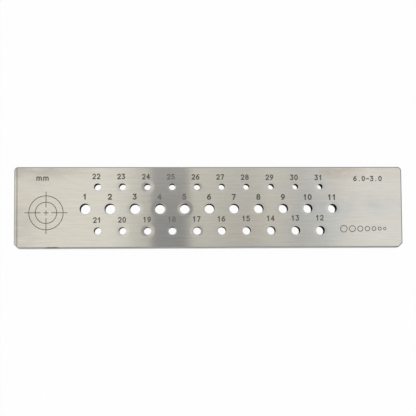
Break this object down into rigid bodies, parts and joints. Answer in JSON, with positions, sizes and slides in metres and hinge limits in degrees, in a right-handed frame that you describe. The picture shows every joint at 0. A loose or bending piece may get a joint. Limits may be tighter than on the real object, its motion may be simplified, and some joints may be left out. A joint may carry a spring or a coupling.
{
  "type": "wire draw plate",
  "caption": "Flat hardened steel plate with rows of graded tapered die holes, numbered on the front, for drawing wire to smaller round sizes.",
  "frame": {"origin": "middle of the back face, which the plate lies on", "axes": "+X along the length towards the right of the numbered front, +Y towards its upper edge, +Z out of the numbered front"},
  "size_m": [0.22, 0.046, 0.008],
  "materials": {
    "plate_steel": "ground and brushed lengthwise, hardened, dark engraved numbers"
  },
  "bodies": {
    "root": {"draw_plate": "plate_steel"}
  },
  "joints": []
}
